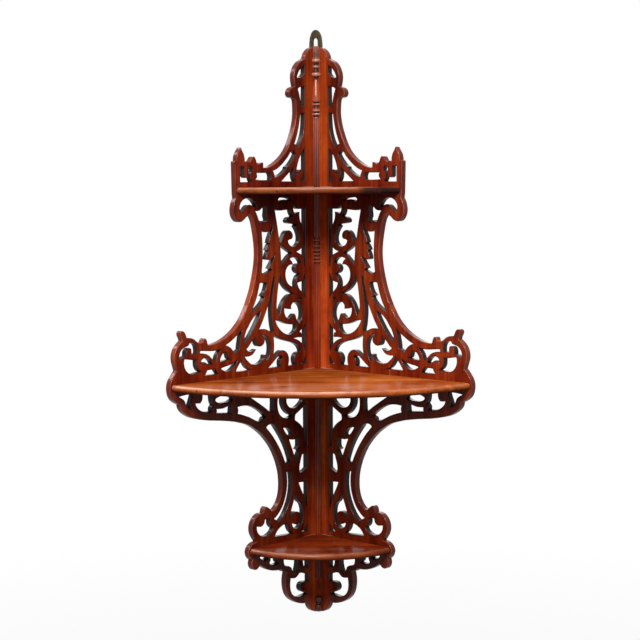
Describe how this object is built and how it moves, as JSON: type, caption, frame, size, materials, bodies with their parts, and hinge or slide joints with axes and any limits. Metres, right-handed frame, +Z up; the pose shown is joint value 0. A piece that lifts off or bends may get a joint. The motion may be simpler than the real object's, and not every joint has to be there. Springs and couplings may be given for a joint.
{
  "type": "corner wall shelf",
  "caption": "Hanging corner shelf in polished mahogany: pierced fretwork side boards, quarter-round shelves, a turned corner column and a folded brass hanger.",
  "frame": {"origin": "top of the hanger's slot, on the line where the two walls meet", "axes": "+Z up; the left board lies on the wall X = 0 and runs to -Y, the right board lies on the wall Y = 0 and runs to +X"},
  "size_m": [0.3198, 0.3198, 0.925],
  "materials": {
    "mahogany_board": "french polish",
    "mahogany_shelf": "french polish",
    "mahogany_turned": "french polish",
    "brass": "aged",
    "screw_brass": "aged",
    "screw_steel": "darkened"
  },
  "bodies": {
    "root": {"left_main_board": "mahogany_board", "left_wing_board": "mahogany_board", "left_gallery_end": "mahogany_board", "right_main_board": "mahogany_board", "right_wing_board": "mahogany_board", "right_gallery_end": "mahogany_board", "top_shelf": "mahogany_shelf", "middle_shelf": "mahogany_shelf", "bottom_shelf": "mahogany_shelf", "crest_column": "mahogany_turned", "upper_column": "mahogany_turned", "lower_column": "mahogany_turned", "pendant_column": "mahogany_turned", "corner_drop": "mahogany_turned", "hanger_plate": "brass", "hanger_screws": "screw_brass", "top_shelf_screws": "screw_steel", "middle_shelf_screws": "screw_steel", "bottom_shelf_screws": "screw_steel", "corner_screws": "screw_steel"}
  },
  "joints": []
}
